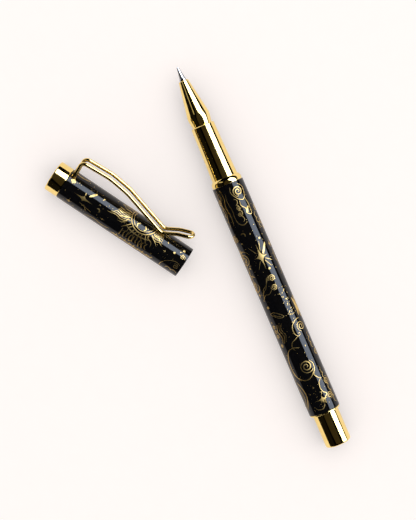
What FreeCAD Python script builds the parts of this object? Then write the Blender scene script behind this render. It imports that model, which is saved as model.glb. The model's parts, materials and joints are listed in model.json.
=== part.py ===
import FreeCAD, Part
import math
import os

# A rollerball pen with its cap off. Millimetres.
# The pen lies along X: the flat end of its tail plug is at x = 0, and the writing ball is at the
# far +X end. Z is up. The cap lies beside the pen on the +Y side, at the same height, turned
# away from it by CAP_ANGLE, with its clip towards the pen and a little up.
# The order along the pen is tail plug, barrel, section ring, grip section, nose cone, refill tip.

# overall
PEN_LENGTH = 131.0
BODY_R = 5.2  # barrel, cap and finial
FIT = 0.1  # radial play of a part that slides in another
SEAT_GAP = 0.05  # between end faces of parts that move apart

# tail plug
TAIL_R = 4.3
TAIL_LENGTH = 11.2
TAIL_EDGE_R = 0.7
TAIL_FLANGE_R = 5.12
TAIL_FLANGE_LENGTH = 0.6
TAIL_SPIGOT_LENGTH = 6.2
SPRING_BORE_R = 2.9
SPRING_BORE_FLOOR = 8.35

# barrel
BARREL_BACK = TAIL_LENGTH + TAIL_FLANGE_LENGTH
BARREL_WALL = 0.6
BARREL_BORE_R = BODY_R - BARREL_WALL
BUSH_LENGTH = 10.3

# section: ring, threaded insert, grip and nose cone
RING_BACK = 90.9
RING_FRONT = 93.0
RING_BACK_R = 4.98
RING_BEND_X = 92.2  # where the bead's outline bends
RING_BEND_R = 5.26
THREAD_R = 3.7
THREAD_LENGTH = 6.0
THREAD_PLAY = 0.08
THREAD_RELIEF = 0.8
INSERT_R = 3.75
INSERT_LENGTH = 14.1
INSERT_BORE_R = 3.1
GRIP_FRONT = 111.0
GRIP_BACK_R = 4.3
GRIP_BEND_R = 3.96
GRIP_FRONT_R = 3.85
GRIP_BORE_R = 3.3
NOSE_SPIGOT_R = 2.95
NOSE_SPIGOT_LENGTH = 5.5
NOSE_WAIST_R = 3.2
NOSE_WIDEST_X = 114.2
NOSE_WIDEST_R = 3.66
NOSE_FRONT = 126.3
NOSE_FRONT_R = 1.62
NOSE_SHOULDER = 120.8

# refill
REFILL_R = 3.0
REFILL_BORE_R = 2.6
REFILL_BACK = 21.6
REFILL_FLANGE = 0.7
REFILL_TUBE_FRONT = 103.0
REFILL_NOSE_R = 2.0
REFILL_SPIGOT_LENGTH = 5.0
CHANNEL_R = 0.4
TIP_SHANK_R = 0.9
TIP_SHANK_LENGTH = 5.5
TIP_STEM_R = 1.15
TIP_STEM_FRONT = 126.9
TIP_CONE_BACK_R = 0.98
TIP_LIP_R = 0.42
BALL_R = 0.35
BALL_PLAY = 0.02
INK_BACK = 88.6
FOLLOWER_LENGTH = 3.9
FOLLOWER_GAP = 1.3  # room for the ink to come back with the refill

# refill spring and its seat
SEAT_R = 2.6
SEAT_THICKNESS = 0.6
SPRING_R = 2.2
SPRING_WIRE_R = 0.2
SPRING_TURNS = 7

# cap
CAP_LENGTH = 50.1
CAP_ANGLE = 32.8
CAP_MOUTH = (73.2, 22.6)
CAP_WALL = 0.4
CAP_BORE_R = BODY_R - CAP_WALL
LINER_BORE_R = 4.42
LINER_MOUTH = 0.6
LINER_END = 41.2
LINER_END_WALL = 0.8
FINIAL_LENGTH = 4.7
FINIAL_SPIGOT = 0.4
BUSH_THICKNESS = 2.0
SCREW_R = 1.5
SCREW_HEAD_R = 2.6
SCREW_HEAD_LENGTH = 1.5
SCREW_DEPTH = 3.2

# clip: one round wire bent into a narrow loop, its two ends held in the cap
CLIP_WIRE_R = 0.62
CLIP_SPACING = 3.0  # between the centre lines of the loop's two sides
CLIP_ROLL = 57.0  # from straight up, towards the pen
CLIP_FOOT_END_R = 4.1
CLIP_PLAY = 0.2
# the clip's side view: distance from the finial's end, height above the cap's axis, bend radius
CLIP_CORNERS = (
    (5.85, 11.3, 1.7),
    (16.0, 12.0, 14.0),
    (23.0, 10.95, 14.0),
    (38.7, 5.72, 2.2),
    (43.0, 8.75, 5.0),
)
CLIP_TIP = (46.0, 10.05)


def turned(*outline):
    """A solid of revolution about X. Each entry is an (x, radius) corner, or a pair of them:
    a point that the outline bends towards, and where the bend ends."""
    edges = []
    here = FreeCAD.Vector(outline[0][0], 0, outline[0][1])
    for entry in outline[1:] + outline[:1]:
        points = entry if isinstance(entry[0], tuple) else (entry,)
        points = [FreeCAD.Vector(x, 0, radius) for x, radius in points]
        if len(points) == 2:
            bend = Part.BezierCurve()
            bend.setPoles([here] + points)
            edges.append(bend.toShape())
        else:
            edges.append(Part.LineSegment(here, points[0]).toShape())
        here = points[-1]
    face = Part.Face(Part.Wire(edges))
    return face.revolve(FreeCAD.Vector(0, 0, 0), FreeCAD.Vector(1, 0, 0), 360)


def rod(back, front, radius):
    along = FreeCAD.Vector(1, 0, 0)
    return Part.makeCylinder(radius, front - back, FreeCAD.Vector(back, 0, 0), along)


def tube(back, front, outer, inner):
    return rod(back, front, outer).cut(rod(back, front, inner))


def rounded(shape, fillet, *circles):
    """Fillets the circular edges that stand at the given (x, radius) places."""
    chosen = []
    for edge in shape.Edges:
        if not isinstance(edge.Curve, Part.Circle):
            continue
        for x, radius in circles:
            if abs(edge.Curve.Center.x - x) < 0.01 and abs(edge.Curve.Radius - radius) < 0.01:
                chosen.append(edge)
    return shape.makeFillet(fillet, chosen)


def as_solid(shape):
    return shape.Solids[0]


# ---- barrel ----


def make_tail_plug():
    body = turned(
        (0, 0),
        (0, TAIL_R),
        (TAIL_LENGTH, TAIL_R),
        (TAIL_LENGTH, TAIL_FLANGE_R),
        (BARREL_BACK, TAIL_FLANGE_R),
        (BARREL_BACK, BARREL_BORE_R),
        (BARREL_BACK + TAIL_SPIGOT_LENGTH, BARREL_BORE_R),
        (BARREL_BACK + TAIL_SPIGOT_LENGTH, SPRING_BORE_R),
        (SPRING_BORE_FLOOR, SPRING_BORE_R),
        (SPRING_BORE_FLOOR, 0),
    )
    body = rounded(body, TAIL_EDGE_R, (0, TAIL_R))
    return rounded(body, 0.2, (TAIL_LENGTH, TAIL_FLANGE_R))


def make_barrel_tube():
    body = tube(BARREL_BACK, RING_BACK - SEAT_GAP, BODY_R, BARREL_BORE_R)
    ends = ((BARREL_BACK, BODY_R), (RING_BACK - SEAT_GAP, BODY_R))
    return rounded(body, 0.12, *ends)


def make_barrel_bush():
    """The threaded bush in the barrel's mouth, with its thread as a plain bore."""
    front = RING_BACK - SEAT_GAP
    thread_back = RING_BACK - THREAD_LENGTH
    return turned(
        (front - BUSH_LENGTH, INSERT_R + 0.3),
        (front - BUSH_LENGTH, BARREL_BORE_R),
        (front, BARREL_BORE_R),
        (front, INSERT_R + 0.3),
        (front - 0.3, THREAD_R + THREAD_PLAY),
        (thread_back, THREAD_R + THREAD_PLAY),
        (thread_back - 0.3, INSERT_R + 0.3),
    )


# ---- refill spring ----


def make_spring_seat():
    back = SPRING_BORE_FLOOR + SEAT_GAP
    return rounded(
        tube(back, back + SEAT_THICKNESS, SEAT_R, 0.8),
        0.15,
        (back, SEAT_R),
        (back + SEAT_THICKNESS, SEAT_R),
    )


def make_refill_spring():
    back = SPRING_BORE_FLOOR + SEAT_GAP + SEAT_THICKNESS + SPRING_WIRE_R + 0.02
    front = REFILL_BACK - SPRING_WIRE_R - 0.05
    length = front - back
    helix = Part.makeHelix(length / SPRING_TURNS, length, SPRING_R)
    start = Part.Circle(
        FreeCAD.Vector(SPRING_R, 0, 0), FreeCAD.Vector(0, 1, 0), SPRING_WIRE_R
    )
    coil = Part.Wire(helix.Edges).makePipeShell([Part.Wire(start.toShape())], True, True)
    coil = Part.Solid(coil.Shells[0]) if not coil.Solids else coil.Solids[0]
    coil.rotate(FreeCAD.Vector(0, 0, 0), FreeCAD.Vector(0, 1, 0), 90)
    coil.translate(FreeCAD.Vector(back, 0, 0))
    return coil


# ---- section ----


def make_section_ring():
    """The bead between barrel and grip that the cap closes against."""
    return turned(
        (RING_BACK, INSERT_R),
        (RING_BACK, RING_BACK_R),
        ((RING_BEND_X, RING_BEND_R), (RING_FRONT, GRIP_BACK_R + 0.12)),
        (RING_FRONT, INSERT_R),
    )


def make_section_insert():
    """The threaded sleeve inside the grip. Its thread is a plain cylinder at the crests."""
    thread_back = RING_BACK - THREAD_LENGTH
    front = thread_back + INSERT_LENGTH
    relief_r = THREAD_R - 0.3
    return turned(
        (thread_back, INSERT_BORE_R),
        (thread_back, THREAD_R - 0.3),
        (thread_back + 0.3, THREAD_R),
        (RING_BACK - THREAD_RELIEF, THREAD_R),
        (RING_BACK - THREAD_RELIEF + 0.2, relief_r),
        (RING_BACK, relief_r),
        (RING_BACK, INSERT_R),
        (front, INSERT_R),
        (front, INSERT_BORE_R),
    )


def make_grip_section():
    insert_front = RING_BACK - THREAD_LENGTH + INSERT_LENGTH
    spigot_back = GRIP_FRONT - NOSE_SPIGOT_LENGTH
    middle = (RING_FRONT + GRIP_FRONT) / 2
    return turned(
        (RING_FRONT, INSERT_R),
        (RING_FRONT, GRIP_BACK_R),
        ((middle, GRIP_BEND_R), (GRIP_FRONT - 0.2, GRIP_FRONT_R)),
        (GRIP_FRONT, GRIP_FRONT_R - 0.2),
        (GRIP_FRONT, NOSE_SPIGOT_R),
        (spigot_back, NOSE_SPIGOT_R),
        (spigot_back, GRIP_BORE_R),
        (insert_front, GRIP_BORE_R),
        (insert_front, INSERT_R),
    )


def make_nose_cone():
    bore_r = REFILL_NOSE_R + FIT
    mouth_r = TIP_STEM_R + FIT / 2
    spigot_back = GRIP_FRONT - NOSE_SPIGOT_LENGTH
    return turned(
        (spigot_back, bore_r),
        (spigot_back, NOSE_SPIGOT_R),
        (GRIP_FRONT, NOSE_SPIGOT_R),
        (GRIP_FRONT, NOSE_WAIST_R),
        (NOSE_WIDEST_X - 0.9, NOSE_WIDEST_R - 0.08),
        ((NOSE_WIDEST_X, NOSE_WIDEST_R + 0.07), (NOSE_WIDEST_X + 0.95, NOSE_WIDEST_R - 0.1)),
        (NOSE_FRONT - 0.15, NOSE_FRONT_R),
        (NOSE_FRONT, NOSE_FRONT_R - 0.15),
        (NOSE_FRONT, mouth_r),
        (NOSE_SHOULDER, mouth_r),
        (NOSE_SHOULDER, bore_r),
    )


# ---- refill ----


def make_refill_end_plug():
    back = REFILL_BACK
    tube_back = back + REFILL_FLANGE
    body = turned(
        (back, CHANNEL_R),
        (back, REFILL_R - 0.15),
        (back + 0.15, REFILL_R),
        (tube_back, REFILL_R),
        (tube_back, REFILL_BORE_R),
        (tube_back + 3.0, REFILL_BORE_R),
        (tube_back + 3.3, REFILL_BORE_R - 0.3),
        (tube_back + 3.3, CHANNEL_R),
    )
    return body


def make_refill_tube():
    return tube(REFILL_BACK + REFILL_FLANGE, REFILL_TUBE_FRONT, REFILL_R, REFILL_BORE_R)


def make_refill_nose():
    """The stepped holder that carries the tip and butts on the tube's front end."""
    flange_front = REFILL_TUBE_FRONT + 1.0
    front = NOSE_SHOULDER - SEAT_GAP
    shank_back = front - TIP_SHANK_LENGTH
    return turned(
        (REFILL_TUBE_FRONT - REFILL_SPIGOT_LENGTH, CHANNEL_R),
        (REFILL_TUBE_FRONT - REFILL_SPIGOT_LENGTH, REFILL_BORE_R),
        (REFILL_TUBE_FRONT, REFILL_BORE_R),
        (REFILL_TUBE_FRONT, REFILL_R),
        (flange_front, REFILL_R),
        (flange_front + 0.9, REFILL_NOSE_R),
        (front - 0.2, REFILL_NOSE_R),
        (front, REFILL_NOSE_R - 0.2),
        (front, TIP_SHANK_R),
        (shank_back, TIP_SHANK_R),
        (shank_back, CHANNEL_R),
    )


def make_refill_tip():
    """The steel tip: a shank in the holder, a stem, and a cone whose lip keeps the ball in."""
    shoulder = NOSE_SHOULDER - SEAT_GAP
    ball_x = PEN_LENGTH - BALL_R
    lip_x = ball_x + 0.2
    body = turned(
        (shoulder - TIP_SHANK_LENGTH, 0),
        (shoulder - TIP_SHANK_LENGTH, TIP_SHANK_R),
        (shoulder, TIP_SHANK_R),
        (shoulder, TIP_STEM_R),
        (TIP_STEM_FRONT, TIP_STEM_R),
        (TIP_STEM_FRONT + 0.25, TIP_CONE_BACK_R),
        (lip_x - 0.5, TIP_LIP_R + 0.04),
        (lip_x, TIP_LIP_R - 0.04),
        (lip_x, 0),
    )
    socket = Part.makeSphere(BALL_R + BALL_PLAY, FreeCAD.Vector(ball_x, 0, 0))
    feed = rod(shoulder - TIP_SHANK_LENGTH, ball_x, 0.22)
    return body.cut(socket).cut(feed)


def make_writing_ball():
    return Part.makeSphere(BALL_R, FreeCAD.Vector(PEN_LENGTH - BALL_R, 0, 0))


def make_ink_column():
    return rod(INK_BACK, REFILL_TUBE_FRONT - REFILL_SPIGOT_LENGTH, REFILL_BORE_R)


def make_ink_follower():
    """The loose plug behind the ink."""
    front = INK_BACK - FOLLOWER_GAP
    back = front - FOLLOWER_LENGTH
    radius = REFILL_BORE_R - FIT
    return rounded(rod(back, front, radius), 0.4, (back, radius), (front, radius))


# ---- cap, along +X from its mouth at the origin, clip straight up, then rolled and placed ----


def clip_pocket():
    """The space for the clip's two feet, cut through the cap's wall into its bush."""
    foot_x = CAP_LENGTH - CLIP_CORNERS[0][0]
    half = CLIP_SPACING / 2 + CLIP_WIRE_R + CLIP_PLAY
    back = foot_x - CLIP_WIRE_R - CLIP_PLAY
    front = CAP_LENGTH - FINIAL_LENGTH - FINIAL_SPIGOT
    floor = CLIP_FOOT_END_R - 0.4
    corner = FreeCAD.Vector(back, -half, floor)
    return Part.makeBox(front - back, 2 * half, BODY_R + 1 - floor, corner)


def make_cap_tube():
    top = CAP_LENGTH - FINIAL_LENGTH
    body = rounded(
        tube(0, top, BODY_R, CAP_BORE_R), 0.12, (0, BODY_R), (0, CAP_BORE_R), (top, BODY_R)
    )
    return body.cut(clip_pocket())


def make_cap_liner():
    inner_end = LINER_END - LINER_END_WALL
    return turned(
        (LINER_MOUTH, LINER_BORE_R + 0.2),
        (LINER_MOUTH, CAP_BORE_R),
        (LINER_END, CAP_BORE_R),
        (LINER_END, 0),
        (inner_end, 0),
        (inner_end, LINER_BORE_R),
        (LINER_MOUTH + 0.4, LINER_BORE_R),
    )


def make_cap_bush():
    top = CAP_LENGTH - FINIAL_LENGTH - FINIAL_SPIGOT
    return tube(top - BUSH_THICKNESS, top, CAP_BORE_R, SCREW_R + 0.05).cut(clip_pocket())


def make_finial_screw():
    head_front = CAP_LENGTH - FINIAL_LENGTH - FINIAL_SPIGOT - BUSH_THICKNESS
    head_back = head_front - SCREW_HEAD_LENGTH
    tip = CAP_LENGTH - FINIAL_LENGTH + SCREW_DEPTH
    body = turned(
        (head_back, 0),
        (head_back, SCREW_HEAD_R - 0.3),
        (head_back + 0.3, SCREW_HEAD_R),
        (head_front, SCREW_HEAD_R),
        (head_front, SCREW_R),
        (tip - 0.3, SCREW_R),
        (tip, SCREW_R - 0.3),
        (tip, 0),
    )
    slot_corner = FreeCAD.Vector(head_back, -SCREW_HEAD_R, -0.3)
    return body.cut(Part.makeBox(0.7, 2 * SCREW_HEAD_R, 0.6, slot_corner))


def make_cap_finial():
    back = CAP_LENGTH - FINIAL_LENGTH
    bore_end = back + SCREW_DEPTH + 0.3
    body = turned(
        (back - FINIAL_SPIGOT, SCREW_R),
        (back - FINIAL_SPIGOT, CAP_BORE_R),
        (back, CAP_BORE_R),
        (back, BODY_R),
        (CAP_LENGTH, BODY_R),
        (CAP_LENGTH, 0),
        (bore_end, 0),
        (bore_end, SCREW_R),
    )
    body = rounded(body, 0.5, (CAP_LENGTH, BODY_R))
    return rounded(body, 0.15, (back, BODY_R))


def bent_path(points, radii):
    """Straight runs joined by tangent arcs; radii belong to the inner points."""
    edges = []
    here = points[0]
    for before, corner, after, radius in zip(points, points[1:], points[2:], radii):
        back = (before - corner).normalize()
        ahead = (after - corner).normalize()
        half = back.getAngle(ahead) / 2
        reach = radius / math.tan(half)
        bisector = (back + ahead).normalize()
        middle = corner + bisector * (radius / math.sin(half) - radius)
        edges.append(Part.LineSegment(here, corner + back * reach).toShape())
        here = corner + ahead * reach
        edges.append(Part.Arc(corner + back * reach, middle, here).toShape())
    edges.append(Part.LineSegment(here, points[-1]).toShape())
    return edges


def clip_side(y):
    foot_x = CAP_LENGTH - CLIP_CORNERS[0][0]
    points = [FreeCAD.Vector(foot_x, y, CLIP_FOOT_END_R)]
    points += [FreeCAD.Vector(CAP_LENGTH - along, y, height) for along, height, _ in CLIP_CORNERS]
    points.append(FreeCAD.Vector(CAP_LENGTH - CLIP_TIP[0], y, CLIP_TIP[1]))
    radii = [radius for _, _, radius in CLIP_CORNERS]
    return points, radii


def make_clip_wire():
    half = CLIP_SPACING / 2
    points, radii = clip_side(half)
    far_points, _ = clip_side(-half)
    ahead = (points[-1] - points[-2]).normalize()
    nose = (points[-1] + far_points[-1]) * 0.5 + ahead * half
    edges = bent_path(points, radii)
    edges.append(Part.Arc(points[-1], nose, far_points[-1]).toShape())
    edges += bent_path(far_points[::-1], radii[::-1])
    ring = Part.Circle(points[0], FreeCAD.Vector(0, 0, 1), CLIP_WIRE_R)
    return Part.Wire(edges).makePipeShell([Part.Wire(ring.toShape())], True, False)


def place_cap_part(shape):
    origin = FreeCAD.Vector(0, 0, 0)
    shape.rotate(origin, FreeCAD.Vector(1, 0, 0), CLIP_ROLL)
    shape.rotate(origin, FreeCAD.Vector(0, 0, 1), CAP_ANGLE)
    shape.translate(FreeCAD.Vector(CAP_MOUTH[0], CAP_MOUTH[1], 0))
    return shape


PEN_PARTS = {
    "tail_plug": make_tail_plug,
    "barrel_tube": make_barrel_tube,
    "barrel_bush": make_barrel_bush,
    "spring_seat": make_spring_seat,
    "refill_spring": make_refill_spring,
    "section_ring": make_section_ring,
    "section_insert": make_section_insert,
    "grip_section": make_grip_section,
    "nose_cone": make_nose_cone,
    "refill_end_plug": make_refill_end_plug,
    "refill_tube": make_refill_tube,
    "refill_nose": make_refill_nose,
    "refill_tip": make_refill_tip,
    "writing_ball": make_writing_ball,
    "ink_column": make_ink_column,
    "ink_follower": make_ink_follower,
}

CAP_PARTS = {
    "cap_tube": make_cap_tube,
    "cap_liner": make_cap_liner,
    "cap_bush": make_cap_bush,
    "finial_screw": make_finial_screw,
    "cap_finial": make_cap_finial,
    "clip_wire": make_clip_wire,
}

parts = {name: as_solid(make()) for name, make in PEN_PARTS.items()}
for name, make in CAP_PARTS.items():
    parts[name] = place_cap_part(as_solid(make()))

os.makedirs("parts", exist_ok=True)
for name, solid in parts.items():
    if not solid.isValid():
        raise ValueError(name + " is not a valid solid")
    solid.exportStep("parts/" + name + ".step")
    box = solid.BoundBox
    print(f"{name:16s} {solid.Volume:9.2f} mm3  x {box.XMin:7.2f}..{box.XMax:7.2f}"
          f"  y {box.YMin:6.2f}..{box.YMax:6.2f}  z {box.ZMin:6.2f}..{box.ZMax:6.2f}")
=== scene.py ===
import bpy
import bmesh
import math
import random
from mathutils import Matrix, Vector
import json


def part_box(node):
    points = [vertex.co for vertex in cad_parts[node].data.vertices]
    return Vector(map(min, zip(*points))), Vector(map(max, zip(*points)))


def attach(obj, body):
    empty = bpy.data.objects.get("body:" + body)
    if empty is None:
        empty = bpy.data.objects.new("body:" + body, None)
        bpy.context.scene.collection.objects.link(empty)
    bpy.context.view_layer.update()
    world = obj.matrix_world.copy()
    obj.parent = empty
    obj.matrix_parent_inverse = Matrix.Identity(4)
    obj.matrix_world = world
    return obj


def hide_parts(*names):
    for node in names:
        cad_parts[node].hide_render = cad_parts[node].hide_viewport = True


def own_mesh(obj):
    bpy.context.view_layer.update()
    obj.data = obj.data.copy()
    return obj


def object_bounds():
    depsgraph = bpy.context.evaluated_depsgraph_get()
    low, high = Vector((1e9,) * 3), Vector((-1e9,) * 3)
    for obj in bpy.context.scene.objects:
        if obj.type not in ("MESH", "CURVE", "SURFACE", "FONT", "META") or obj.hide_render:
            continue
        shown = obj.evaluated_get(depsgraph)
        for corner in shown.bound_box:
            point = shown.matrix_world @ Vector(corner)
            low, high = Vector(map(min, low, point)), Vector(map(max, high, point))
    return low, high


# A rollerball pen with its cap off. Most CAD pieces keep their shape and get their materials here.
# The threaded sleeves, the refill spring, the finial, the tail plug and the gold print are meshes made
# here. Lengths that end in _MM, and all of the print's own coordinates, are millimetres; Blender works
# in metres.

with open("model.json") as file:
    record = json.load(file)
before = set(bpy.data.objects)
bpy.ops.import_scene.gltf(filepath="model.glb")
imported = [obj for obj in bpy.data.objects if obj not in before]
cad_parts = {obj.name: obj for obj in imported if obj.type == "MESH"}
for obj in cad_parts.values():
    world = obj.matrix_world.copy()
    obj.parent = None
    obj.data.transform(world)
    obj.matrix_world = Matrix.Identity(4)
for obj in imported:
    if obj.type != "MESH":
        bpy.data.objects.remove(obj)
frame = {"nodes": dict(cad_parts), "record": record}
cad_low, cad_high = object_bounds()

MM = 0.001
nodes = frame["nodes"]
mounts = {m["name"]: m for m in frame["record"]["mounts"]}

BODY_R_MM = -cad_low.z / MM
barrel_low, barrel_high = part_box("barrel_tube")
BARREL_BACK_MM = barrel_low.x / MM
BARREL_FRONT_MM = barrel_high.x / MM

PEN_ORIGIN = Vector((0, 0, 0))
PEN_ALONG = Vector((1, 0, 0))
PEN_SIDE = Vector((0, -1, 0))

# the cap's axis comes from its mouth bore, whose axis points out of the cap
cap_mount = mounts["cap_mouth"]
CAP_ALONG = -Vector(cap_mount["axis"]).normalized()
CAP_SIDE = Vector((CAP_ALONG.y, -CAP_ALONG.x, 0))
CAP_MOUTH_TO_MOUNT_MM = 20.7
CAP_MOUTH = Vector(cap_mount["pos_m"]) - CAP_ALONG * CAP_MOUTH_TO_MOUNT_MM * MM
CAP_TUBE_LENGTH_MM = 45.4


# ---- shader helpers ----

class Shader:
    """One material with its Principled shader and short calls for the nodes that feed it."""

    def __init__(self, name, **values):
        self.material = bpy.data.materials.new(name)
        self.material.use_nodes = True
        self.tree = self.material.node_tree
        self.shader = self.tree.nodes["Principled BSDF"]
        for key, value in values.items():
            self.shader.inputs[key.replace("_", " ")].default_value = value

    def node(self, kind, **inputs):
        made = self.tree.nodes.new("ShaderNode" + kind)
        for key, value in inputs.items():
            socket = made.inputs[key.replace("_", " ")]
            if isinstance(value, bpy.types.NodeSocket):
                self.tree.links.new(value, socket)
            else:
                socket.default_value = value
        return made

    def place(self, scale=(1, 1, 1), turn=0.0):
        """Object coordinates, turned about Z and then scaled."""
        coords = self.node("TexCoord").outputs["Object"]
        turned = self.node("Mapping", Vector=coords, Rotation=(0, 0, turn)).outputs["Vector"]
        return self.node("Mapping", Vector=turned, Scale=scale).outputs["Vector"]

    def noise(self, vector, scale, detail=3.0, rough=0.5):
        made = self.node("TexNoise", Vector=vector, Scale=scale, Detail=detail, Roughness=rough)
        return made.outputs["Fac"]

    def ramp(self, value, low, high, to_low, to_high):
        made = self.node("MapRange", Value=value)
        made.inputs["From Min"].default_value = low
        made.inputs["From Max"].default_value = high
        made.inputs["To Min"].default_value = to_low
        made.inputs["To Max"].default_value = to_high
        return made.outputs["Result"]

    def colours(self, value, first, second, low=0.35, high=0.65):
        made = self.node("ValToRGB", Fac=value)
        made.color_ramp.elements[0].position = low
        made.color_ramp.elements[0].color = (*first, 1)
        made.color_ramp.elements[1].position = high
        made.color_ramp.elements[1].color = (*second, 1)
        return made.outputs["Color"]

    def set(self, name, socket):
        self.tree.links.new(socket, self.shader.inputs[name])

    def bumps(self, *layers):
        """Each layer is (height socket, strength, distance in mm). They add up."""
        normal = None
        for height, strength, distance in layers:
            bump = self.node("Bump", Height=height, Strength=strength, Distance=distance * MM)
            if normal is not None:
                self.tree.links.new(normal, bump.inputs["Normal"])
            normal = bump.outputs["Normal"]
        self.set("Normal", normal)


CAP_TURN = -math.atan2(CAP_ALONG.y, CAP_ALONG.x)
RINGS = (9000, 60, 60)  # squeezes noise into fine rings round the turned axis
DRAWN = (60, 5000, 5000)  # stretches noise into streaks along the axis
LAPPED = (9000, 9000, 9000)  # the same grain in all directions, from the finest to the coarsest
SCREW_SKIN = (3000, 3000, 3000)
WIRE_SKIN = (2500, 2500, 2500)


def gold_plate(name, turn):
    """Polished gold plating: soft finger marks, faint polishing rings, a few hair scratches."""
    s = Shader(name, Metallic=1.0)
    marks = s.noise(s.place(), 420, 4)
    rings = s.noise(s.place(RINGS, turn), 1, 2)
    scratches = s.noise(s.place((300, 9000, 9000), turn + 0.5), 1, 2)
    s.set("Base Color", s.colours(marks, (0.90, 0.66, 0.22), (0.96, 0.74, 0.28)))
    s.set("Roughness", s.ramp(marks, 0.35, 0.7, 0.045, 0.12))
    s.bumps((s.noise(s.place(), 160, 1), 0.10, 0.02), (rings, 0.05, 0.002), (scratches, 0.03, 0.002))
    return s.material


def gold_wire(name):
    """Plated wire: the same gold with lengthwise drawing marks and tiny dimples."""
    s = Shader(name, Metallic=1.0)
    marks = s.noise(s.place(), 700, 4)
    s.set("Base Color", s.colours(marks, (0.90, 0.65, 0.21), (0.96, 0.74, 0.29)))
    s.set("Roughness", s.ramp(marks, 0.3, 0.7, 0.06, 0.16))
    s.bumps((s.noise(s.place((700, 4000, 4000), CAP_TURN), 1, 2), 0.12, 0.004), (marks, 0.10, 0.004))
    return s.material


def gold_foil(name):
    """Stamped foil: a rougher, slightly broken gold with a warm cast."""
    s = Shader(name, Metallic=1.0)
    grain = s.noise(s.place(), 3600, 4, 0.7)
    patches = s.noise(s.place(), 500, 2)
    s.set("Base Color", s.colours(patches, (0.50, 0.33, 0.10), (0.72, 0.51, 0.19)))
    s.set("Roughness", s.ramp(grain, 0.3, 0.7, 0.36, 0.56))
    s.bumps((grain, 0.5, 0.01))
    return s.material


def black_lacquer(name, turn):
    """Deep gloss lacquer: a slight orange peel, dust specks under it and faint wiping marks."""
    s = Shader(name, **{"IOR": 1.45, "Specular IOR Level": 0.34})
    peel = s.noise(s.place(), 700, 2)
    dust = s.noise(s.place(), 5200, 2, 0.6)
    wipes = s.noise(s.place((150, 2600, 2600), turn + 0.3), 1, 3)
    s.set("Base Color", s.colours(dust, (0.0025, 0.0025, 0.003), (0.010, 0.010, 0.012), 0.55, 0.8))
    s.set("Roughness", s.ramp(wipes, 0.35, 0.7, 0.035, 0.085))
    s.bumps((peel, 0.10, 0.006), (wipes, 0.03, 0.001))
    return s.material


def turned_brass(name, turn):
    """Bare brass off the lathe: clear tool rings and a slightly dulled colour."""
    s = Shader(name, Metallic=1.0)
    rings = s.noise(s.place((14000, 30, 30), turn), 1, 2)
    tarnish = s.noise(s.place(), 350, 4)
    s.set("Base Color", s.colours(tarnish, (0.52, 0.33, 0.12), (0.80, 0.58, 0.27)))
    s.set("Roughness", s.ramp(rings, 0.3, 0.7, 0.18, 0.36))
    s.bumps((rings, 0.35, 0.01))
    return s.material


def moulded_plastic(name, colour, second, rough):
    """Moulded plastic: fine spark-eroded grain and flow clouding."""
    s = Shader(name, IOR=1.49)
    grain = s.noise(s.place(), 6500, 3, 0.6)
    flow = s.noise(s.place((120, 400, 400)), 1, 3)
    s.set("Base Color", s.colours(flow, colour, second))
    s.set("Roughness", s.ramp(grain, 0.3, 0.7, rough - 0.08, rough + 0.08))
    s.bumps((grain, 0.35, 0.01))
    return s.material


def metal(name, colour, second, rough, squeeze, depth):
    """Bare metal with streaks or rings, from how the noise is squeezed."""
    s = Shader(name, Metallic=1.0)
    streaks = s.noise(s.place(squeeze), 1, 3)
    stain = s.noise(s.place(), 500, 3)
    s.set("Base Color", s.colours(stain, colour, second))
    s.set("Roughness", s.ramp(streaks, 0.3, 0.7, rough * 0.7, rough * 1.3))
    s.bumps((streaks, 0.3, depth))
    return s.material


def wet(name, colour, second, rough, **values):
    """Ink or grease: smooth, with slow clouds of thicker and thinner colour."""
    s = Shader(name, IOR=1.45, **values)
    clouds = s.noise(s.place(), 900, 3)
    s.set("Base Color", s.colours(clouds, colour, second))
    s.set("Roughness", s.ramp(clouds, 0.3, 0.7, rough * 0.7, rough * 1.3))
    s.bumps((clouds, 0.2, 0.02))
    return s.material


pen_gold = gold_plate("pen_gold", 0.0)
cap_gold = gold_plate("cap_gold", CAP_TURN)
clip_gold = gold_wire("clip_gold")
foil = gold_foil("print_foil")
pen_brass = turned_brass("pen_brass", 0.0)
cap_brass = turned_brass("cap_brass", CAP_TURN)
refill_black = moulded_plastic("refill_black", (0.03, 0.03, 0.034), (0.06, 0.06, 0.066), 0.34)

finishes = {
    "tail_plug": pen_gold,
    "section_ring": pen_gold,
    "grip_section": pen_gold,
    "nose_cone": pen_gold,
    "cap_finial": cap_gold,
    "clip_wire": clip_gold,
    "barrel_tube": black_lacquer("barrel_lacquer", 0.0),
    "cap_tube": black_lacquer("cap_lacquer", CAP_TURN),
    "barrel_bush": pen_brass,
    "section_insert": pen_brass,
    "cap_bush": cap_brass,
    "cap_liner": moulded_plastic("liner_black", (0.02, 0.02, 0.022), (0.045, 0.045, 0.05), 0.45),
    "refill_tube": metal("drawn_tube", (0.50, 0.51, 0.53), (0.68, 0.69, 0.70), 0.26, DRAWN, 0.006),
    "spring_seat": refill_black,
    "refill_end_plug": refill_black,
    "refill_nose": refill_black,
    "refill_tip": metal("tip_steel", (0.42, 0.42, 0.43), (0.58, 0.58, 0.59), 0.11, RINGS, 0.002),
    "writing_ball": metal("ball_carbide", (0.34, 0.35, 0.37), (0.50, 0.51, 0.53), 0.12, LAPPED, 0.001),
    "refill_spring": metal("spring_steel", (0.48, 0.49, 0.51), (0.66, 0.67, 0.69), 0.22, WIRE_SKIN, 0.004),
    "finial_screw": metal("screw_steel", (0.42, 0.43, 0.45), (0.62, 0.63, 0.65), 0.28, SCREW_SKIN, 0.006),
    "ink_column": wet("ink", (0.004, 0.004, 0.008), (0.012, 0.012, 0.02), 0.08),
    "ink_follower": wet("grease", (0.62, 0.58, 0.44), (0.80, 0.76, 0.62), 0.22),
}
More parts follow.
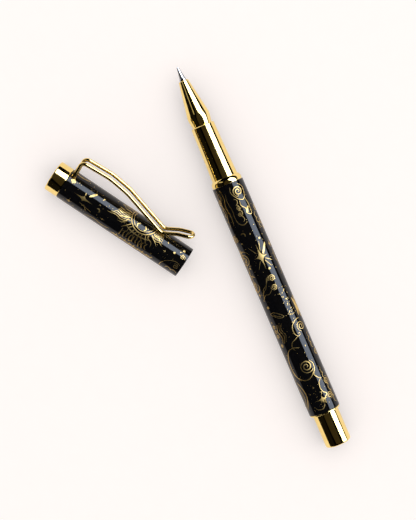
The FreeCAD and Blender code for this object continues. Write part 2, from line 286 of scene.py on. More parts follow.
for name, material in finishes.items():
    mesh = nodes[name].data
    for index in range(max(1, len(mesh.materials))):
        if index < len(mesh.materials):
            mesh.materials[index] = material
        else:
            mesh.materials.append(material)


# ---- mesh helpers ----

ROUND = 72
SHARP_EDGE = math.radians(35)
SAME_MM = 1e-6


def mesh_object(name, points, faces, smooth):
    mesh = bpy.data.meshes.new(name)
    mesh.from_pydata(points, [], faces)
    tidy = bmesh.new()
    tidy.from_mesh(mesh)
    bmesh.ops.recalc_face_normals(tidy, faces=tidy.faces)
    tidy.to_mesh(mesh)
    tidy.free()
    mesh.polygons.foreach_set("use_smooth", [smooth] * len(mesh.polygons))
    made = bpy.data.objects.new(name, mesh)
    bpy.context.scene.collection.objects.link(made)
    return made


# ---- threads ----

PITCH_MM = 0.75
THREAD_DEPTH_MM = 0.34
GROOVE_SLOPE = 5.0
GROOVE_CUT = 1.25  # where the slopes would meet, in depths; the floor is flat at one depth
FADE_MM = 0.5
THREAD_STEP_MM = 0.06


def thread_dip(x, angle, start, end):
    """How far the thread dips below its crest, fading out at its two ends."""
    phase = (x / PITCH_MM - angle / (2 * math.pi)) % 1.0
    dip = THREAD_DEPTH_MM * min(1.0, max(0.0, GROOVE_CUT - abs(phase - 0.5) * GROOVE_SLOPE))
    fade = min(1.0, (x - start) / FADE_MM, (end - x) / FADE_MM)
    return dip * max(0.0, fade)


def threaded_sleeve(name, outline, thread, outside):
    """A turned sleeve from (x, radius) corners. thread is (start, end, crest radius): the outer or
    inner wall at that radius is cut by a helical groove between the two."""
    start, end, crest = thread
    sign = -1 if outside else 1
    stations = []
    for here, there in zip(outline, outline[1:] + outline[:1]):
        on_wall = max(abs(here[1] - crest), abs(there[1] - crest)) < SAME_MM
        steps = max(1, round(abs(there[0] - here[0]) / THREAD_STEP_MM)) if on_wall else 1
        for step in range(steps):
            share = step / steps
            x = here[0] + (there[0] - here[0]) * share
            stations.append((x, here[1] + (there[1] - here[1]) * share, on_wall))
    points, faces = [], []
    for x, radius, cut in stations:
        for k in range(ROUND):
            angle = 2 * math.pi * k / ROUND
            r = radius + (sign * thread_dip(x, angle, start, end) if cut else 0.0)
            points.append((x * MM, r * math.cos(angle) * MM, r * math.sin(angle) * MM))
    count = len(stations)
    for i in range(count):
        j = (i + 1) % count
        for k in range(ROUND):
            n = (k + 1) % ROUND
            faces.append((i * ROUND + k, i * ROUND + n, j * ROUND + n, j * ROUND + k))
    made = mesh_object(name, points, faces, True)
    made.data.set_sharp_from_angle(angle=SHARP_EDGE)
    made.data.materials.append(pen_brass)
    return made


THREAD_R_MM = 3.7
THREAD_PLAY_MM = 0.08
CHAMFER_MM = 0.3
RELIEF_MM = 0.8
RELIEF_FLAT_MM = 0.6
INSERT_R_MM = 3.75
INSERT_BORE_MM = 3.1
insert_low, insert_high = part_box("section_insert")
insert_back = insert_low.x / MM
insert_front = insert_high.x / MM
ring_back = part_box("section_ring")[0].x / MM
insert = threaded_sleeve(
    "section_insert_threaded",
    [
        (insert_back, INSERT_BORE_MM),
        (insert_back, THREAD_R_MM - CHAMFER_MM),
        (insert_back + CHAMFER_MM, THREAD_R_MM),
        (ring_back - RELIEF_MM, THREAD_R_MM),
        (ring_back - RELIEF_FLAT_MM, THREAD_R_MM - CHAMFER_MM),
        (ring_back, THREAD_R_MM - CHAMFER_MM),
        (ring_back, INSERT_R_MM),
        (insert_front, INSERT_R_MM),
        (insert_front, INSERT_BORE_MM),
    ],
    (insert_back + CHAMFER_MM, ring_back - RELIEF_MM, THREAD_R_MM),
    outside=True,
)
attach(insert, "front")
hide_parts("section_insert")

BUSH_BORE_MM = INSERT_R_MM + CHAMFER_MM
NUT_R_MM = THREAD_R_MM + THREAD_PLAY_MM
bush_low, bush_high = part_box("barrel_bush")
bush_back = bush_low.x / MM
bush_front = bush_high.x / MM
bush_r = bush_high.z / MM
bush = threaded_sleeve(
    "barrel_bush_threaded",
    [
        (bush_back, BUSH_BORE_MM),
        (bush_back, bush_r),
        (bush_front, bush_r),
        (bush_front, BUSH_BORE_MM),
        (bush_front - CHAMFER_MM, NUT_R_MM),
        (insert_back, NUT_R_MM),
        (insert_back - CHAMFER_MM, BUSH_BORE_MM),
    ],
    (insert_back, bush_front - CHAMFER_MM, NUT_R_MM),
    outside=False,
)
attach(bush, "barrel")
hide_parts("barrel_bush")


# ---- the refill spring, which is pressed together when the tip is pushed in ----

COIL_TURNS = 8
COIL_STEPS = 32
WIRE_SIDES = 12
WIRE_R_MM = 0.2
CLOSED_GAP_MM = 0.03


def coil(name, back, front, radius):
    """A spring along X with a closed turn at each end. back and front are the faces it stands on."""
    first, last = back + WIRE_R_MM, front - WIRE_R_MM
    closed = 2 * WIRE_R_MM + CLOSED_GAP_MM
    points, faces = [], []
    for i in range(COIL_TURNS * COIL_STEPS + 1):
        turn = i / COIL_STEPS
        free = min(max(turn - 1, 0), COIL_TURNS - 2) / (COIL_TURNS - 2)
        ends = min(turn, 1) + max(turn - COIL_TURNS + 1, 0)
        x = first + closed * ends + (last - first - 2 * closed) * free
        angle = 2 * math.pi * turn
        for k in range(WIRE_SIDES):
            wire_angle = 2 * math.pi * k / WIRE_SIDES
            r = radius + WIRE_R_MM * math.cos(wire_angle)
            wire_x = x + WIRE_R_MM * math.sin(wire_angle)
            points.append((wire_x * MM, r * math.cos(angle) * MM, r * math.sin(angle) * MM))
    rows = COIL_TURNS * COIL_STEPS
    for i in range(rows):
        for k in range(WIRE_SIDES):
            n = (k + 1) % WIRE_SIDES
            a, b = i * WIRE_SIDES, (i + 1) * WIRE_SIDES
            faces.append((a + k, b + k, b + n, a + n))
    faces.append(tuple(reversed(range(WIRE_SIDES))))
    faces.append(tuple(rows * WIRE_SIDES + k for k in range(WIRE_SIDES)))
    made = mesh_object(name, points, faces, True)
    made.data.materials.append(finishes["refill_spring"])
    return made


spring_low, spring_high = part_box("refill_spring")
spring_radius = spring_high.z / MM - WIRE_R_MM
spring = coil("refill_spring_coil", spring_low.x / MM, spring_high.x / MM, spring_radius)
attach(spring, "spring")
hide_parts("refill_spring")
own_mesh(spring)


# ---- turned gold ends, with rounder beads than the CAD has ----

CORNER_STEPS = 8


def corner(x, r, radius, start, end):
    """An arc of the outline about (x, r), from one angle to the other in degrees."""
    shares = [k / CORNER_STEPS for k in range(CORNER_STEPS + 1)]
    angles = [math.radians(start + (end - start) * share) for share in shares]
    return [(x + radius * math.cos(a), r + radius * math.sin(a)) for a in angles]


def lathe(name, outline, origin, along, side, material):
    """A turned solid from (x, radius) corners that start and end on the axis."""
    points, faces = [origin + along * outline[0][0] * MM], []
    for x, r in outline[1:-1]:
        for k in range(ROUND):
            angle = 2 * math.pi * k / ROUND
            spoke = side * (r * math.sin(angle)) + Vector((0, 0, r * math.cos(angle)))
            points.append(origin + (along * x + spoke) * MM)
    points.append(origin + along * outline[-1][0] * MM)
    rings = len(outline) - 2
    for k in range(ROUND):
        n = (k + 1) % ROUND
        faces.append((0, 1 + k, 1 + n))
        for i in range(rings - 1):
            a, b = 1 + i * ROUND, 1 + (i + 1) * ROUND
            faces.append((a + k, b + k, b + n, a + n))
        last = 1 + (rings - 1) * ROUND
        faces.append((last + k, len(points) - 1, last + n))
    made = mesh_object(name, [tuple(p) for p in points], faces, True)
    made.data.set_sharp_from_angle(angle=SHARP_EDGE)
    made.data.materials.append(material)
    return made


END_ROUND_MM = 0.5
BASE_ROUND_MM = 0.4
CAP_LENGTH_MM = 50.1
CAP_BORE_R_MM = 4.8
SCREW_R_MM = 1.5
SCREW_BORE_MM = 3.5
SCREW_BORE_END_MM = CAP_TUBE_LENGTH_MM + SCREW_BORE_MM
SPIGOT_MM = 0.4
finial = lathe(
    "cap_finial_rounded",
    [
        (SCREW_BORE_END_MM, 0),
        (SCREW_BORE_END_MM, SCREW_R_MM),
        (CAP_TUBE_LENGTH_MM - SPIGOT_MM, SCREW_R_MM),
        (CAP_TUBE_LENGTH_MM - SPIGOT_MM, CAP_BORE_R_MM),
        (CAP_TUBE_LENGTH_MM, CAP_BORE_R_MM),
        *corner(CAP_TUBE_LENGTH_MM + BASE_ROUND_MM, BODY_R_MM - BASE_ROUND_MM, BASE_ROUND_MM, 180, 90),
        *corner(CAP_LENGTH_MM - END_ROUND_MM, BODY_R_MM - END_ROUND_MM, END_ROUND_MM, 90, 0),
        (CAP_LENGTH_MM, 0),
    ],
    CAP_MOUTH,
    CAP_ALONG,
    CAP_SIDE,
    cap_gold,
)
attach(finial, "cap")
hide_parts("cap_finial")

TAIL_R_MM = 4.3
TAIL_EDGE_MM = 0.7
FLANGE_R_MM = 5.12
FLANGE_BACK_MM = 11.2
FLANGE_ROUND_MM = (BARREL_BACK_MM - FLANGE_BACK_MM) / 2
PLUG_SPIGOT_MM = 6.2
PLUG_FRONT_MM = BARREL_BACK_MM + PLUG_SPIGOT_MM
BARREL_BORE_R_MM = 4.6
SPRING_BORE_R_MM = 2.9
SPRING_BORE_FLOOR_MM = 8.35
plug = lathe(
    "tail_plug_rounded",
    [
        (0, 0),
        *corner(TAIL_EDGE_MM, TAIL_R_MM - TAIL_EDGE_MM, TAIL_EDGE_MM, 180, 90),
        (FLANGE_BACK_MM, TAIL_R_MM),
        *corner(FLANGE_BACK_MM + FLANGE_ROUND_MM, FLANGE_R_MM - FLANGE_ROUND_MM, FLANGE_ROUND_MM, 180, 0),
        (BARREL_BACK_MM, BARREL_BORE_R_MM),
        (PLUG_FRONT_MM, BARREL_BORE_R_MM),
        (PLUG_FRONT_MM, SPRING_BORE_R_MM),
        (SPRING_BORE_FLOOR_MM, SPRING_BORE_R_MM),
        (SPRING_BORE_FLOOR_MM, 0),
    ],
    PEN_ORIGIN,
    PEN_ALONG,
    -PEN_SIDE,
    pen_gold,
)
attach(plug, "barrel")
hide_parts("tail_plug")


# ---- the gold print ----

LINE_MM = 0.19
PROUD_MM = 0.008
SUNK_MM = 0.035
STEP_MM = 0.22
SHORTEST_STEP_MM = 0.02
EDGE_MM = 0.1  # no line comes nearer to the end of its sheet
TAPER_RATE = 5  # a line reaches its full width after a fifth of its length
FILL_RING_MM = 0.35
CURL_HOLLOW = 0.88  # how much of its radius a scroll loses on its way in
SCALLOP_STEPS = 8
LOW_BUMP = 0.75
STAR_STEPS = 40
STAR_CORE = 0.03
DOT_STEPS = 12
MOON_HALF_ARC = 105
MOON_WIDTH = 0.55


def through(points):
    """A smooth line through the given (u, v) points, cut into short steps."""
    ends = [points[0]] + list(points) + [points[-1]]
    line = []
    for a, b, c, d in zip(ends, ends[1:], ends[2:], ends[3:]):
        steps = max(2, int(math.dist(b, c) / STEP_MM))
        for i in range(steps):
            t = i / steps
            line.append(tuple(
                0.5 * (2 * q + (r - p) * t + (2 * p - 5 * q + 4 * r - s) * t * t
                       + (3 * q - p - 3 * r + s) * t ** 3)
                for p, q, r, s in zip(a, b, c, d)
            ))
    line.append(tuple(points[-1]))
    return line


def arc(u, v, radius, start, end):
    """Part of a circle, from one angle to the other in degrees."""
    steps = max(6, int(abs(math.radians(end - start)) * radius / STEP_MM))
    angles = [math.radians(start + (end - start) * i / steps) for i in range(steps + 1)]
    return [(u + radius * math.cos(a), v + radius * math.sin(a)) for a in angles]


def curl(u, v, radius, turns, start):
    """A scroll that winds in to its centre. Negative turns wind the other way."""
    steps = max(16, int(abs(turns) * 2 * math.pi * radius * 0.6 / STEP_MM))
    line = []
    for i in range(steps + 1):
        t = i / steps
        a = math.radians(start) + turns * 2 * math.pi * t
        r = radius * (1 - CURL_HOLLOW * t)
        line.append((u + r * math.cos(a), v + r * math.sin(a)))
    return line


def scallops(start, end, count, height):
    """A row of round cloud bumps between two points."""
    du, dv = (end[0] - start[0]) / count, (end[1] - start[1]) / count
    length = math.hypot(du, dv)
    nu, nv = -dv / length, du / length
    line = []
    for i in range(count):
        steps = SCALLOP_STEPS + 1 if i == count - 1 else SCALLOP_STEPS
        for k in range(steps):
            a = math.pi * k / SCALLOP_STEPS
            along = i + (1 - math.cos(a)) / 2
            out = math.sin(a) * height * (1.0 if i % 2 else LOW_BUMP)
            line.append((start[0] + du * along + nu * out, start[1] + dv * along + nv * out))
    return line


class Print:
    """Thin raised foil on a cylinder. u runs along it and v round it, from the top towards the
    side that the clip faces, both in millimetres."""

    def __init__(self, origin, along, side, low, high):
        self.origin, self.along, self.side = origin, along, side
        self.low, self.high = low, high
        self.points, self.faces = [], []

    def v(self, degrees):
        return math.radians(degrees) * BODY_R_MM

    def inside(self, place):
        return self.low + EDGE_MM < place[0] < self.high - EDGE_MM

    def point(self, u, v, height):
        a = v / BODY_R_MM
        r = (BODY_R_MM + height) * MM
        u = min(max(u, self.low), self.high)
        place = self.origin + self.along * u * MM + self.side * r * math.sin(a)
        place.z += r * math.cos(a)
        place.y = max(place.y, cad_low.y)
        place.z = max(place.z, cad_low.z)
        self.points.append(tuple(place))
        return len(self.points) - 1

    def stroke(self, line, width=LINE_MM, ends=(0.45, 0.45)):
        """A closed ribbon along a line. ends are the shares of the width left at the two tips."""
        line = [p for i, p in enumerate(line) if i == 0 or math.dist(p, line[i - 1]) > SHORTEST_STEP_MM]
        line = [p for p in line if self.inside(p)]
        if len(line) < 3:
            return
        rows = []
        for i, (u, v) in enumerate(line):
            before, after = line[max(0, i - 1)], line[min(len(line) - 1, i + 1)]
            du, dv = after[0] - before[0], after[1] - before[1]
            length = math.hypot(du, dv) or 1.0
            share = i / (len(line) - 1)
            widen = ends[0] + (1 - ends[0]) * share * TAPER_RATE
            narrow = ends[1] + (1 - ends[1]) * (1 - share) * TAPER_RATE
            half = width * min(1.0, widen, narrow) / 2
            nu, nv = -dv / length * half, du / length * half
            rows.append([
                self.point(u + nu, v + nv, PROUD_MM), self.point(u - nu, v - nv, PROUD_MM),
                self.point(u - nu, v - nv, -SUNK_MM), self.point(u + nu, v + nv, -SUNK_MM),
            ])
        for a, b in zip(rows, rows[1:]):
            for k in range(4):
                n = (k + 1) % 4
                self.faces.append((a[k], a[n], b[n], b[k]))
        self.faces.append(tuple(reversed(rows[0])))
        self.faces.append(tuple(rows[-1]))

    def fill(self, u, v, outline):
        """A closed patch round a middle point."""
        if not all(self.inside(p) for p in outline):
            return
        reach = max(math.dist((u, v), p) for p in outline)
        rings = max(1, math.ceil(reach / FILL_RING_MM))
        count = len(outline)
        skins = []
        for height in (PROUD_MM, -SUNK_MM):
            middle = self.point(u, v, height)
            loops = [
                [self.point(u + (a - u) * k / rings, v + (b - v) * k / rings, height) for a, b in outline]
                for k in range(1, rings + 1)
            ]
            for i in range(count):
                n = (i + 1) % count
                self.faces.append((middle, loops[0][i], loops[0][n]))
                for inner, outer in zip(loops, loops[1:]):
                    self.faces.append((inner[i], outer[i], outer[n], inner[n]))
            skins.append(loops[-1])
        for i in range(count):
            n = (i + 1) % count
            self.faces.append((skins[0][i], skins[1][i], skins[1][n], skins[0][n]))

    def star(self, u, degrees, long, wide, sharp=4.0):
        """A four-pointed star with hollow sides."""
        v = self.v(degrees)
        outline = []
        for i in range(STAR_STEPS):
            a = 2 * math.pi * i / STAR_STEPS
            c, s = math.cos(a), math.sin(a)
            outline.append((
                u + long * math.copysign(abs(c) ** sharp + STAR_CORE * abs(c), c),
                v + wide * math.copysign(abs(s) ** sharp + STAR_CORE * abs(s), s),
            ))
        self.fill(u, v, outline)

    def dot(self, u, degrees, radius):
        v = self.v(degrees)
        angles = [2 * math.pi * i / DOT_STEPS for i in range(DOT_STEPS)]
        self.fill(u, v, [(u + radius * math.cos(a), v + radius * math.sin(a)) for a in angles])

    def crescent(self, u, degrees, radius, turn):
        """A thin moon: an arc whose ends run out to points."""
        line = arc(u, self.v(degrees), radius, turn - MOON_HALF_ARC, turn + MOON_HALF_ARC)
        self.stroke(line, radius * MOON_WIDTH, (0.05, 0.05))

    def ray(self, u0, d0, u1, d1, width=LINE_MM):
        a, b = (u0, self.v(d0)), (u1, self.v(d1))
        du, dv = b[0] - a[0], b[1] - a[1]
        steps = max(3, int(math.dist(a, b) / STEP_MM))
        line = [(a[0] + du * i / steps, a[1] + dv * i / steps) for i in range(steps + 1)]
        self.stroke(line, width, (0.9, 0.1))

    def path(self, *places, width=LINE_MM):
        """A smooth line through (u, degrees) places."""
        self.stroke(through([(u, self.v(d)) for u, d in places]), width)

    def scroll(self, u, degrees, radius, turns=2.0, start=0.0, width=LINE_MM):
        self.stroke(curl(u, self.v(degrees), radius, turns, start), width)

    def cloud(self, u0, d0, u1, d1, count, height):
        self.stroke(scallops((u0, self.v(d0)), (u1, self.v(d1)), count, height))

    def sun(self, u, degrees, radius, rays, reach, seed):
        """A plain disc outline with straight and wavy rays."""
        dice = random.Random(seed)
        v = self.v(degrees)
        self.stroke(arc(u, v, radius, 0, 360), LINE_MM * 1.2, (1, 1))
        self.stroke(arc(u, v, radius * 0.82, 0, 360), LINE_MM * 0.7, (1, 1))
        for i in range(rays):
            a = 2 * math.pi * i / rays
            wavy = i % 2
            length = reach * (0.62 + 0.38 * dice.random()) * (1.0 if wavy else 0.8)
            steps = max(6, int(length / STEP_MM))
            line = []
            for k in range(steps + 1):
                t = k / steps
                r = radius * 1.08 + length * t
                sway = 0.35 * math.sin(t * 2 * math.pi * 1.2) * wavy
                line.append((
                    u + r * math.cos(a) - sway * math.sin(a), v + r * math.sin(a) + sway * math.cos(a)
                ))
            self.stroke(line, LINE_MM * (1.0 if wavy else 1.3), (0.9, 0.08))

    def dust(self, seed, count, size):
        """Tiny dots all round."""
        dice = random.Random(seed)
        for _ in range(count):
            u = dice.uniform(self.low + 1, self.high - 1)
            degrees = dice.uniform(-180, 180)
            self.dot(u, degrees, dice.uniform(*size))

    def tuft(self, u0, d0, u1, d1, count, length, seed):
        """A patch of short glints that lean the same way."""
        dice = random.Random(seed)
        for _ in range(count):
            u, d = dice.uniform(u0, u1), dice.uniform(d0, d1)
            lean = dice.uniform(0.2, 0.9)
            reach = dice.uniform(0.5, 1.0) * length
            round_it = math.degrees(reach / BODY_R_MM) * (1 - lean * 0.4)
            self.ray(u, d, u + reach * lean, d + round_it, LINE_MM * 0.7)

    def done(self, name, body):
        """Makes the sheet's mesh, which moves with the body."""
        made = mesh_object(name, self.points, self.faces, False)
        made.data.materials.append(foil)
        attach(made, body)


TRIES = 900
MOTIF_SIZES = (0.8, 1.1, 1.5, 1.9, 2.3)
CROSS_START = 0.4
CROSS_TURN = 1.57
DEGREES_PER_MM = 11  # about one millimetre round the surface


def scatter(sheet, low, high, from_deg, to_deg, seed, gap):
    """Fills a part of the surface with scrolls, stars, moons, clouds and crosses, spaced apart."""
    dice = random.Random(seed)
    placed = []
    for _ in range(TRIES):
        u, d = dice.uniform(low + 2, high - 2), dice.uniform(from_deg, to_deg)
        size = dice.choice(MOTIF_SIZES)
        v = sheet.v(d)
        if any(math.hypot(u - a, v - b) < (size + c) * gap for a, b, c in placed):
            continue
        placed.append((u, v, size))
        kind = dice.randrange(6)
        turn = dice.uniform(0, 360)
        if kind < 2:
            sheet.scroll(u, d, size, dice.choice((-2.1, 2.1)), turn)
            sheet.stroke(arc(u, v, size * 1.35, turn, turn + 170))
        elif kind == 2:
            sheet.star(u, d, size * 1.4, size * 0.8)
        elif kind == 3:
            sheet.crescent(u, d, size * 0.7, turn)
        elif kind == 4:
            sheet.cloud(u - size, d, u + size, d + dice.uniform(-15, 15), 3, size * 0.6)
            sheet.scroll(u + size * 1.3, d, size * 0.5, 1.6, 180)
        else:
            for k in range(4):
                a = k * CROSS_TURN + CROSS_START
                sheet.ray(u, d, u + size * math.cos(a), d + DEGREES_PER_MM * size * math.sin(a))


RIM_MM = 0.3  # left free of print at both ends of a tube
barrel = Print(PEN_ORIGIN, PEN_ALONG, PEN_SIDE, BARREL_BACK_MM + RIM_MM, BARREL_FRONT_MM - RIM_MM)

# scrolls and folds behind the grip
barrel.scroll(87.6, 22, 1.75, 2.0, 200, 0.25)
barrel.path((89.9, 30), (88.4, 46), (86.0, 42), (84.6, 30), (85.3, 12), (87.6, -4), (89.6, 0))
barrel.path((85.2, 36), (82.6, 42), (79.4, 38), (80.2, 22), (81.6, 24), (83.0, 12), (84.6, 14))
barrel.path((82.0, 38), (81.4, 30), (80.2, 25), width=0.5)
barrel.cloud(78.0, -2, 85.6, -5, 4, 0.9)
barrel.scroll(82.6, 0, 0.75, 1.7, 90)
barrel.scroll(80.4, -4, 0.7, -1.7, 90)
barrel.path((77.6, 10), (77.0, -6), (77.9, -20), (80.0, -26), (82.5, -24), (85.5, -29), (88.2, -25))
barrel.path((90.0, -40), (87.0, -36), (84.0, -44), (81.0, -38), (77.8, -42), width=0.3)
barrel.path((90.0, -58), (87.5, -50), (85.5, -60), (82.5, -52), (79.5, -62))
barrel.cloud(77.5, -66, 89.5, -70, 6, 0.8)
barrel.scroll(86.2, -66, 1.0, 1.8, 0)
barrel.cloud(79.2, 56, 74.2, 62, 3, 1.0)
barrel.scroll(76.2, 72, 1.2, 1.9, 30)
barrel.scroll(80.6, 74, 1.3, -1.9, 120)

# the large star and the rays round it
barrel.star(65.6, 5, 4.3, 2.3, 5.0)
barrel.ray(66.3, 17, 69.5, 41, 0.6)
for u, d in ((69.8, -26), (61.9, -20), (61.6, 30), (70.6, 20), (63.2, 42)):
    barrel.ray(65.6 + (u - 65.6) * 0.35, 5 + (d - 5) * 0.35, u, d, 0.16)
barrel.dot(71.3, 27, 0.32)
barrel.dot(61.2, 17, 0.36)
barrel.dot(63.3, -53, 0.34)
barrel.dot(71.6, -41, 0.26)
barrel.dot(73.6, 2, 0.2)
barrel.crescent(73.9, -24, 0.7, 40)
barrel.star(68.3, 64, 1.5, 0.7)
barrel.path((66.4, 70), (63.8, 62), (61.0, 70), (58.0, 64))
barrel.path((70.0, -66), (66.0, -60), (62.0, -68), (58.0, -62))

# twin curls with their tails
barrel.scroll(58.1, 11, 1.15, 2.0, 250)
barrel.scroll(55.2, 6, 1.1, -2.0, 290)
barrel.path((59.1, 4), (58.4, -8), (56.6, -18), (55.6, -34), (53.6, -44))
barrel.path((58.5, -2), (57.2, -14), (55.6, -24), (54.4, -40), (52.4, -48))
barrel.path((54.6, -6), (53.6, -20), (53.6, -36), (52.0, -54))
barrel.dot(50.1, 31, 0.2)

# glints in the middle
barrel.tuft(44.0, 12, 53.0, 34, 24, 0.7, 11)
barrel.tuft(46.0, 24, 52.0, 44, 10, 0.6, 12)
for k in range(3):
    outer, inner = 55 + 2 * k, 58 + 5 * k
    barrel.path((49.8 - 0.4 * k, outer), (47.8, inner), (45.4, inner), (43.6 + 0.4 * k, outer), width=0.5)
barrel.path((50.2, 70), (46.2, 74), (42.8, 70), width=0.7)
barrel.path((47.4, -50), (47.6, -34), (46.6, -16), (45.4, -3), (45.2, -18), (46.0, -32), (47.2, -48))
barrel.path((46.9, -36), (46.0, -24), (45.6, -12))
barrel.dot(49.6, -48, 0.46)
barrel.star(54.2, -64, 1.2, 0.6)

# breeze lines and small scrolls low on the side
barrel.path((43.6, -22), (41.8, -32), (39.6, -24), (37.4, -34))
barrel.path((43.8, -30), (41.6, -40), (39.4, -32), (37.0, -42))
barrel.path((43.6, -40), (41.4, -50), (39.0, -42), (37.2, -50))
for u in (42.9, 41.3, 39.7):
    barrel.scroll(u, -60, 0.78, 1.7, 180)
barrel.scroll(36.5, -60, 0.62, 1.8, 0)
barrel.dot(44.6, -62, 0.2)

# clouds towards the tail
barrel.scroll(40.3, 43, 1.7, 2.0, 200)
barrel.path((43.0, 50), (42.8, 30), (41.4, 10), (39.2, 6), (37.8, 15), (38.0, 28))
barrel.path((37.8, 15), (37.0, -2), (36.4, -14), (34.9, -20), (33.9, -14))
barrel.scroll(30.7, 66, 1.3, -1.9, 180)
barrel.cloud(37.6, 64, 32.4, 60, 3, 0.9)
barrel.path((34.2, 2), (34.8, -18), (34.2, -40), (31.6, -57), (28.6, -62), (26.0, -56), (24.2, -36),
            (23.6, -12), (24.4, 6), (25.4, 16), width=0.3)
barrel.scroll(27.8, 0, 2.25, 2.1, 130, 0.3)
barrel.path((29.4, 16), (28.0, 26), (26.2, 24), (24.6, 14), (23.2, 22), (22.6, 34))
barrel.path((22.6, 34), (21.6, 20), (19.8, 15), (18.2, 20), (17.3, 30), (16.2, 18), (14.6, 14))
barrel.scroll(21.1, 52, 1.4, 1.9, 0)
barrel.scroll(16.3, 40, 1.2, -1.9, 180)
barrel.cloud(25.8, 50, 13.4, 62, 6, 0.8)
barrel.star(16.1, 7, 1.5, 2.8, 5.0)
barrel.tuft(13.8, -14, 18.6, 16, 10, 0.7, 13)
barrel.path((23.8, -68), (21.6, -52), (18.8, -45), (16.2, -54), (14.2, -70), width=0.3)
barrel.path((22.2, -74), (20.0, -62), (17.6, -60), (15.4, -70))
barrel.path((14.4, 8), (13.2, -4), (13.4, -22), (14.6, -32))
barrel.dot(20.6, -8, 0.24)
barrel.dot(18.9, -28, 0.2)

scatter(barrel, barrel.low, barrel.high, 88, 272, 21, 1.0)
scatter(barrel, 53, 76, -84, -60, 22, 0.8)
barrel.dust(23, 420, (0.06, 0.13))
barrel.done("barrel_print", "barrel")

cap = Print(CAP_MOUTH, CAP_ALONG, CAP_SIDE, RIM_MM, CAP_TUBE_LENGTH_MM - RIM_MM)

# cloud lines at the mouth
cap.path((6.2, -80), (6.6, -58), (5.9, -34), (4.2, -18), (2.4, -11), (0.8, -16))
cap.scroll(1.9, -27, 0.95, 1.8, 30)
cap.scroll(1.5, 14, 0.85, -1.6, 200)
cap.cloud(0.6, -52, 4.6, -58, 2, 0.9)
cap.dot(4.5, 12, 0.36)
cap.dot(2.2, 38, 0.42)
cap.dot(7.8, 30, 0.2)
cap.star(7.4, -2, 0.8, 0.5)

# a sun without a face, and the flames round it
cap.sun(17.6, 53, 4.6, 30, 5.0, 31)
for k in range(9):
    root, tip = -16 - 3 * (k % 2), -40 - 4 * (k % 3)
    cap.path((13.2 + k * 1.15, root), (13.6 + k * 1.1, -30), (12.9 + k * 1.2, tip), width=0.32)
cap.path((13.6, -2), (15.4, -8), (17.6, -10), (19.8, -8), (21.6, -2), width=0.36)
for k in range(6):
    towards_mouth = ((13.0, 14 + 5 * k), (11.6, 8 + 7 * k), (10.2, 12 + 8 * k), (9.0 + 0.3 * k, 5 + 9 * k))
    towards_end = ((22.4, 14 + 5 * k), (24.4, 6 + 7 * k), (26.6, 10 + 7 * k), (29.4 - 0.9 * k, 4 + 8 * k))
    cap.path(*towards_mouth, width=0.15)
    cap.path(*towards_end, width=0.15)
cap.tuft(9.0, 40, 13.0, 74, 9, 0.9, 32)
cap.tuft(21.0, 42, 28.6, 74, 12, 0.9, 33)
cap.path((16.4, 16), (16.0, 26), (16.7, 34), width=0.34)
cap.path((18.8, 16), (19.2, 26), (18.5, 34), width=0.34)
for k in range(9):
    cap.crescent(10.4 + 1.65 * k, -55 - 3 * (k % 2), 0.62, 250)
    cap.crescent(11.2 + 1.65 * k, -68, 0.5, 70)

# stars and dashes towards the finial
cap.star(37.8, -7, 3.4, 1.0)
cap.ray(34.8, 33, 36.6, 9, 0.62)
cap.ray(37.8, 6, 38.0, 16, 0.3)
cap.ray(35.2, -42, 36.8, -24, 0.22)
cap.ray(33.6, -34, 38.4, -26, 0.2)
cap.star(43.4, 25, 0.95, 0.9, 2.2)
cap.dot(32.1, 32, 0.26)
cap.dot(44.0, -18, 0.22)
cap.star(41.4, -47, 1.0, 0.7)
cap.star(29.4, -32, 0.9, 0.5)
cap.crescent(32.0, -14, 0.6, 130)
cap.path((38.8, 72), (40.6, 62), (43.0, 62), (44.6, 72), width=0.3)
cap.path((26.0, -52), (28.6, -58), (31.6, -52), (34.6, -60))

scatter(cap, cap.low, cap.high, 88, 272, 41, 1.0)
cap.dust(43, 240, (0.06, 0.13))
cap.done("cap_print", "cap")


# ---- stage, light and camera ----

FLOOR_GAP_MM = 0.02
FLOOR_HALF = 6
floor_z = cad_low.z - FLOOR_GAP_MM * MM
floor_signs = ((-1, -1), (1, -1), (1, 1), (-1, 1))
floor_corners = [(x * FLOOR_HALF, y * FLOOR_HALF, floor_z) for x, y in floor_signs]
floor_mesh = bpy.data.meshes.new("floor")
floor_mesh.from_pydata(floor_corners, [], [(0, 1, 2, 3)])
floor = bpy.data.objects.new("floor", floor_mesh)
bpy.context.scene.collection.objects.link(floor)
paper = Shader("paper")
fibres = paper.noise(paper.place(), 260, 4)
paper.set("Base Color", paper.colours(fibres, (0.800, 0.748, 0.726), (0.806, 0.756, 0.734)))
paper.shader.inputs["Roughness"].default_value = 0.9
paper.shader.inputs["Specular IOR Level"].default_value = 0.0
paper.shader.inputs["Emission Color"].default_value = (1.0, 0.94, 0.915, 1)
paper.shader.inputs["Emission Strength"].default_value = 0.34
floor_mesh.materials.append(paper.material)

world = bpy.data.worlds.new("studio")
bpy.context.scene.world = world
world.use_nodes = True
background = world.node_tree.nodes["Background"]
background.inputs["Color"].default_value = (1.0, 0.995, 0.99, 1)
background.inputs["Strength"].default_value = 0.72
world.cycles_visibility.glossy = False

PICTURE_UP = math.radians(-23.32)  # the way to the picture's top, on the floor, from X towards Y
IMAGE_UP = Vector((math.cos(PICTURE_UP), math.sin(PICTURE_UP), 0))
IMAGE_RIGHT = Vector((IMAGE_UP.y, -IMAGE_UP.x, 0))
STRAIGHT_UP = Vector((0, 0, 1))
MIDDLE = Vector(((cad_low.x + cad_high.x) / 2, (cad_low.y + cad_high.y) / 2, 0))


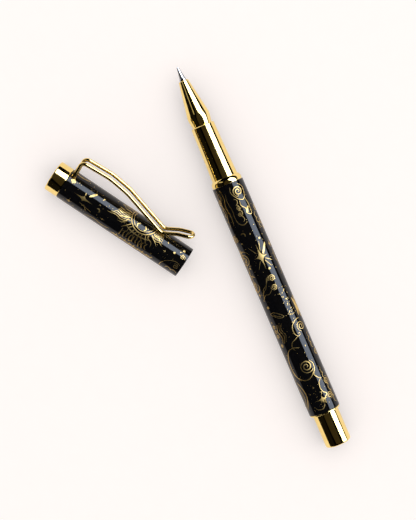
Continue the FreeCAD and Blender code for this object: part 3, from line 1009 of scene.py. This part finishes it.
def panel(name, turn, zenith, distance, size, radiance, colour, shines, lights, roll=0.0, shift=(0, 0)):
    """A flat light that faces the pen. turn is its direction from image right towards image up,
    zenith its angle down from straight above, roll its turn in its own plane, and shift how far it
    slides along its own sides, in metres. shines: seen in reflections. lights: lights matt surfaces."""
    width, height = size
    data = bpy.data.lights.new(name, "AREA")
    data.shape = "RECTANGLE"
    data.size = width
    data.size_y = height
    data.energy = radiance * math.pi * width * height
    data.color = colour
    flat = IMAGE_RIGHT * math.cos(math.radians(turn)) + IMAGE_UP * math.sin(math.radians(turn))
    out = flat * math.sin(math.radians(zenith)) + STRAIGHT_UP * math.cos(math.radians(zenith))
    across = STRAIGHT_UP.cross(flat)
    over = out.cross(across)
    c, s = math.cos(math.radians(roll)), math.sin(math.radians(roll))
    across, over = across * c + over * s, over * c - across * s
    place = MIDDLE + out * distance + across * shift[0] + over * shift[1]
    made = bpy.data.objects.new(name, data)
    made.matrix_world = Matrix.Translation(place) @ Matrix((across, over, out)).transposed().to_4x4()
    made.visible_camera = False
    made.visible_glossy = shines
    made.visible_diffuse = lights
    bpy.context.scene.collection.objects.link(made)


COOL = (0.75, 0.84, 1.0)
NEUTRAL = (1.0, 0.985, 0.97)
CREAM = (1.0, 0.95, 0.75)
AMBER = (1.0, 0.84, 0.50)
MATT_ONLY = {"shines": False, "lights": True}
GLOSSY_ONLY = {"shines": True, "lights": False}
panel("softbox", 35, 50, 1.3, (2.25, 0.83), 8.2, COOL, **GLOSSY_ONLY, roll=20, shift=(-0.225, 0.085))
panel("softbox_fill", 45, 25, 1.5, (1.9, 1.7), 0.55, NEUTRAL, **MATT_ONLY)
panel("ceiling", 0, 3, 1.6, (1.7, 1.35), 0.034, AMBER, **GLOSSY_ONLY)
panel("side_card", 160, 58, 1.3, (0.30, 0.9), 0.6, CREAM, **GLOSSY_ONLY)
panel("dim_wall", 195, 62, 1.3, (2.4, 1.3), 0.007, CREAM, **GLOSSY_ONLY)

CAMERA_PLACE = Vector((0.100, 0.015, 0.450))
CAMERA_TARGET = Vector((0.07099, 0.01532, 0))
camera_back = (CAMERA_PLACE - CAMERA_TARGET).normalized()
camera_right = IMAGE_UP.cross(camera_back).normalized()
camera_up = camera_back.cross(camera_right)
camera_turn = Matrix((camera_right, camera_up, camera_back)).transposed().to_4x4()
camera_data = bpy.data.cameras.new("camera")
camera_data.lens = 97.75
camera_data.sensor_width = 36
camera_data.clip_start = 0.01
camera = bpy.data.objects.new("camera", camera_data)
bpy.context.scene.collection.objects.link(camera)
bpy.context.scene.camera = camera
camera.matrix_world = Matrix.Translation(CAMERA_PLACE) @ camera_turn

bpy.context.scene.cycles.caustics_reflective = False
bpy.context.scene.view_settings.view_transform = "Standard"
bpy.context.scene.view_settings.look = "None"
